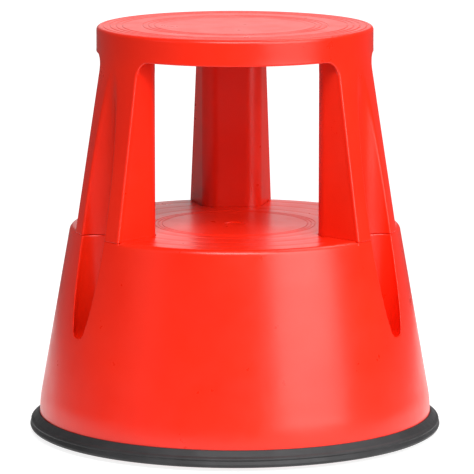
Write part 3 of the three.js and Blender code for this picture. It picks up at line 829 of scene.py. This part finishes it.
def noise(nodes, links, place, scale, detail=3.0, roughness=0.5):
    node = nodes.new("ShaderNodeTexNoise")
    node.inputs["Scale"].default_value = scale
    node.inputs["Detail"].default_value = detail
    node.inputs["Roughness"].default_value = roughness
    links.new(place, node.inputs["Vector"])
    return node.outputs["Fac"]


def mapped(nodes, links, value, low, high, start=0.3, end=0.7):
    node = nodes.new("ShaderNodeMapRange")
    node.inputs["From Min"].default_value = start
    node.inputs["From Max"].default_value = end
    node.inputs["To Min"].default_value = low
    node.inputs["To Max"].default_value = high
    links.new(value, node.inputs["Value"])
    return node.outputs["Result"]


def make_material(name, colours, roughness, bumps, cloud_scale=14.0, metallic=0.0, specular=0.5,
                  stretch=(1, 1, 1)):
    """A finish from noise: colour and roughness drift between two values, and bumps are layers.

    Each bump is (scale, strength, height in mm), and scales are per metre.
    """
    material = bpy.data.materials.new(name)
    material.use_nodes = True
    nodes, links = material.node_tree.nodes, material.node_tree.links
    shader = nodes["Principled BSDF"]
    shader.inputs["Metallic"].default_value = metallic
    shader.inputs["Specular IOR Level"].default_value = specular
    place = nodes.new("ShaderNodeMapping")
    place.inputs["Scale"].default_value = stretch
    links.new(nodes.new("ShaderNodeTexCoord").outputs["Object"], place.inputs["Vector"])
    place = place.outputs["Vector"]

    cloud = noise(nodes, links, place, cloud_scale, 4.0)
    ramp = nodes.new("ShaderNodeValToRGB")
    ramp.color_ramp.elements[0].position = 0.3
    ramp.color_ramp.elements[1].position = 0.7
    for element, colour in zip(ramp.color_ramp.elements, colours):
        element.color = (*colour, 1)
    links.new(cloud, ramp.inputs["Fac"])
    links.new(ramp.outputs["Color"], shader.inputs["Base Color"])
    patches = noise(nodes, links, place, cloud_scale * 2.7, 5.0, 0.6)
    links.new(mapped(nodes, links, patches, *roughness), shader.inputs["Roughness"])

    normal = None
    for scale, strength, height in bumps:
        bump = nodes.new("ShaderNodeBump")
        bump.inputs["Strength"].default_value = strength
        bump.inputs["Distance"].default_value = height * MM
        links.new(noise(nodes, links, place, scale, 2.0), bump.inputs["Height"])
        if normal:
            links.new(normal, bump.inputs["Normal"])
        normal = bump.outputs["Normal"]
    links.new(normal, shader.inputs["Normal"])
    return material


RED = make_material("moulded_red", ((0.80, 0.0150, 0.0024), (0.84, 0.0185, 0.0032)), (0.27, 0.34),
                    ((55.0, 0.25, 0.5), (1300.0, 0.12, 0.05)))
RUBBER = make_material("floor_rubber", ((0.022, 0.022, 0.023), (0.033, 0.033, 0.035)), (0.46, 0.58),
                       ((1500.0, 0.5, 0.12), (160.0, 0.2, 0.3)), cloud_scale=40.0, specular=0.3)
TYRE = make_material("tyre_rubber", ((0.020, 0.020, 0.021), (0.036, 0.036, 0.037)), (0.55, 0.72),
                     ((1800.0, 0.5, 0.10),), cloud_scale=60.0)
ZINC = make_material("zinc_plate", ((0.52, 0.54, 0.57), (0.66, 0.67, 0.68)), (0.26, 0.42),
                     ((900.0, 0.2, 0.05),), cloud_scale=90.0, metallic=1.0)
SPRING = make_material("spring_wire", ((0.34, 0.35, 0.37), (0.46, 0.47, 0.49)), (0.22, 0.36),
                       ((1400.0, 0.15, 0.04),), cloud_scale=160.0, metallic=1.0)
BLACK_NYLON = make_material("black_nylon", ((0.010, 0.010, 0.011), (0.018, 0.018, 0.019)),
                            (0.40, 0.55), ((1500.0, 0.3, 0.06),), cloud_scale=50.0)
GREY_NYLON = make_material("grey_nylon", ((0.36, 0.37, 0.38), (0.43, 0.44, 0.45)), (0.36, 0.48),
                           ((1500.0, 0.25, 0.05),), cloud_scale=70.0)


def finish(piece, material, slot, body, *nodes):
    """Gives a piece its material and body, and hides the CAD nodes it stands for; slot is not used.
    """
    piece.data.materials.append(material)
    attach(piece, body)
    if nodes:
        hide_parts(*nodes)
    return piece


# ---- The stool ----

finish(make_upper_shell(), RED, "red_plastic", "stool", "upper_shell")
finish(make_lower_shell(), RED, "red_plastic", "stool", "lower_shell")
finish(make_floor_ring(), RUBBER, "grey_rubber", "stool", "base_ring")

def step_rib_reach(i):
    """Ribs that point at a leg stop at its well, and the others at the skirt."""
    at_leg = (i - RIB_COUNT // 4) % RIBS_PER_LEG == 0
    return FLUTE_CENTRE - FLUTE_RADIUS - WALL / 2 if at_leg else STEP_RIB_REACH


top_ribs = make_ribs("top_ribs", HEIGHT - TOP_RIB_DEPTH, HEIGHT - TREAD_WALL + 1, TOP_RIB_RING,
                     lambda i: TOP_RADIUS - WALL / 2)
step_ribs = make_ribs("step_ribs", STEP_HEIGHT - STEP_RIB_DEPTH, STEP_HEIGHT - TREAD_WALL + 1,
                      STEP_RIB_RING, step_rib_reach)
for ribs in (top_ribs, step_ribs):
    finish(ribs, RED, "red_plastic", "stool")

for number in (1, 2, 3):
    azimuth = REAR_AZIMUTH + (number - 1) * SECTOR
    leg = Matrix.Rotation(azimuth, 4, "Z")
    for letter, side in (("a", -1), ("b", 1)):
        out, across = LEG_SCREW_PLACE
        screw = make_screw(f"leg_{number}_fixing_{letter}",
                           leg @ Matrix.Translation((out, side * across, 0)),
                           LEG_SCREW_LOW[2] + SCREW_HEAD_HEIGHT,
                           LEG_SCREW_HIGH[2] - LEG_SCREW_LOW[2] - SCREW_HEAD_HEIGHT)
        finish(screw, ZINC, "zinc_steel", "stool", f"leg_{number}_screw_{letter}")

    name = f"castor_{number}_"
    swivel = leg @ Matrix.Translation((CASTOR_RADIUS, 0, 0))
    on_axle = Matrix.Translation((-TRAIL, 0, AXLE_HEIGHT))
    axle = swivel @ on_axle @ Matrix.Rotation(-math.pi / 2, 4, "X")
    stool, slider = "stool", name + "slider"
    turning, rolling = name + "swivel", name + "roller"
    washer = WASHER_LOW[2], WASHER_HIGH[2]
    bush = BUSH_LOW[2], BUSH_HIGH[2]

    finish(make_castor_boss(name + "boss", swivel), RED, "red_plastic", stool)
    finish(make_socket(name + "holder", swivel), BLACK_NYLON, "black_nylon", stool, name + "socket")
    finish(make_turned(name + "bearing", swivel, [
        (STEM_RADIUS + 0.15, bush[0]), (SOCKET_BORE - GAP, bush[0]), (SOCKET_BORE - GAP, bush[1]),
        (STEM_RADIUS + 0.15, bush[1]),
    ]), GREY_NYLON, "grey_nylon", stool, name + "bush")
    spring = finish(make_spring(name + "coil", swivel), SPRING, "spring_steel", stool,
                    name + "spring")
    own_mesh(spring)
    finish(make_turned(name + "washer", swivel, [
        (STEM_RADIUS + GAP, washer[0]), (SOCKET_BORE - 0.6, washer[0]),
        (SOCKET_BORE - 0.6, washer[1]), (STEM_RADIUS + GAP, washer[1]),
    ]), ZINC, "zinc_steel", slider, name + "thrust_washer")
    finish(make_clip(name + "snap_ring", swivel), SPRING, "spring_steel", turning, name + "clip")
    finish(make_stem(name + "pintle", swivel), ZINC, "zinc_steel", turning, name + "stem")
    finish(make_fork(name + "yoke", swivel), ZINC, "zinc_steel", turning, name + "fork")
    finish(make_axle(name + "rivet", axle), ZINC, "zinc_steel", turning, name + "axle")
    finish(make_wheel(name + "rim", axle), GREY_NYLON, "grey_nylon", rolling, name + "wheel")
    finish(make_tyre(name + "tread", axle), TYRE, "tyre_rubber", rolling, name + "tyre")
    for letter, side in (("a", -1), ("b", 1)):
        screw = make_screw(name + "fixing_" + letter,
                           swivel @ Matrix.Translation((0, side * SOCKET_SCREW_OFFSET, 0)),
                           SCREW_LOW[2] + SCREW_HEAD_HEIGHT,
                           SCREW_HIGH[2] - SCREW_LOW[2] - SCREW_HEAD_HEIGHT)
        finish(screw, ZINC, "zinc_steel", stool, name + "screw_" + letter)


# ---- Floor, light and camera ----

FLOOR_RADIUS = 0.95
AIM = Vector((0, 0, HEIGHT * MM / 2))


def make_floor():
    """A large pale disc, clear from below."""
    count = 96
    rim = [(FLOOR_RADIUS * math.cos(2 * math.pi * i / count),
            FLOOR_RADIUS * math.sin(2 * math.pi * i / count), 0) for i in range(count)]
    mesh = bpy.data.meshes.new("floor")
    mesh.from_pydata(rim, [], [list(range(count))])
    floor = bpy.data.objects.new("floor", mesh)
    bpy.context.scene.collection.objects.link(floor)
    material = bpy.data.materials.new("pale_floor")
    material.use_nodes = True
    nodes, links = material.node_tree.nodes, material.node_tree.links
    shader = nodes["Principled BSDF"]
    shader.inputs["Base Color"].default_value = (0.35, 0.35, 0.35, 1)
    shader.inputs["Roughness"].default_value = 0.9
    shader.inputs["Specular IOR Level"].default_value = 0.0
    shader.inputs["Emission Color"].default_value = (1, 1, 1, 1)
    shader.inputs["Emission Strength"].default_value = 0.85
    clear = nodes.new("ShaderNodeBsdfTransparent")
    mix = nodes.new("ShaderNodeMixShader")
    links.new(nodes.new("ShaderNodeNewGeometry").outputs["Backfacing"], mix.inputs["Fac"])
    links.new(shader.outputs["BSDF"], mix.inputs[1])
    links.new(clear.outputs["BSDF"], mix.inputs[2])
    links.new(mix.outputs["Shader"], nodes["Material Output"].inputs["Surface"])
    mesh.materials.append(material)


def softbox(name, azimuth, height, distance, size, power):
    """A rectangular light that faces the stool. Azimuth 0 is in front, and 90 on the right."""
    light = bpy.data.lights.new(name, "AREA")
    light.shape = "RECTANGLE"
    light.size, light.size_y = size
    light.energy = power
    lamp = bpy.data.objects.new(name, light)
    lamp.visible_camera = False
    angle = math.radians(azimuth)
    lamp.location = (distance * math.sin(angle), -distance * math.cos(angle), height)
    lamp.rotation_euler = (AIM - lamp.location).to_track_quat("-Z", "Y").to_euler()
    bpy.context.scene.collection.objects.link(lamp)


def make_world(front, back, backdrop):
    """A soft room, brighter behind the stool, with a white backdrop where the camera sees it."""
    world = bpy.data.worlds.new("studio")
    bpy.context.scene.world = world
    world.use_nodes = True
    nodes, links = world.node_tree.nodes, world.node_tree.links
    sky = nodes["Background"]
    sky.inputs["Color"].default_value = (1, 1, 1, 1)
    towards = nodes.new("ShaderNodeSeparateXYZ")
    links.new(nodes.new("ShaderNodeTexCoord").outputs["Generated"], towards.inputs["Vector"])
    fade = mapped(nodes, links, towards.outputs["Y"], front, back, 0.55, 0.98)
    links.new(fade, sky.inputs["Strength"])
    seen = nodes.new("ShaderNodeBackground")
    seen.inputs["Color"].default_value = (1, 1, 1, 1)
    seen.inputs["Strength"].default_value = backdrop
    mix = nodes.new("ShaderNodeMixShader")
    links.new(nodes.new("ShaderNodeLightPath").outputs["Is Camera Ray"], mix.inputs["Fac"])
    links.new(sky.outputs["Background"], mix.inputs[1])
    links.new(seen.outputs["Background"], mix.inputs[2])
    links.new(mix.outputs["Shader"], nodes["World Output"].inputs["Surface"])


def make_camera():
    """A view from the front, a little to the left, and looking slightly down."""
    azimuth, pitch = math.radians(-1.6), math.radians(9.39)
    distance, height = 4.02, 0.87
    camera = bpy.data.cameras.new("camera")
    camera.sensor_width = 36.0
    camera.lens = 293.2
    camera.shift_x = 0.0044
    camera.clip_start, camera.clip_end = 0.1, 50.0
    holder = bpy.data.objects.new("camera", camera)
    holder.location = (distance * math.sin(azimuth), -distance * math.cos(azimuth), height)
    holder.rotation_euler = (math.pi / 2 - pitch, 0, azimuth)
    bpy.context.scene.collection.objects.link(holder)
    bpy.context.scene.camera = holder


make_floor()
make_world(front=0.11, back=0.18, backdrop=1.15)
softbox("key", azimuth=44, height=1.25, distance=2.3, size=(2.0, 2.2), power=65)
softbox("front", azimuth=-4, height=2.5, distance=2.0, size=(1.8, 1.2), power=72)
softbox("fill", azimuth=-60, height=1.3, distance=2.8, size=(1.2, 1.8), power=3)
softbox("top", azimuth=120, height=2.6, distance=1.2, size=(1.4, 1.4), power=26)
softbox("back", azimuth=180, height=0.65, distance=1.5, size=(0.9, 1.3), power=2.4)
make_camera()
bpy.context.scene.view_settings.view_transform = "Standard"
bpy.context.scene.view_settings.look = "None"
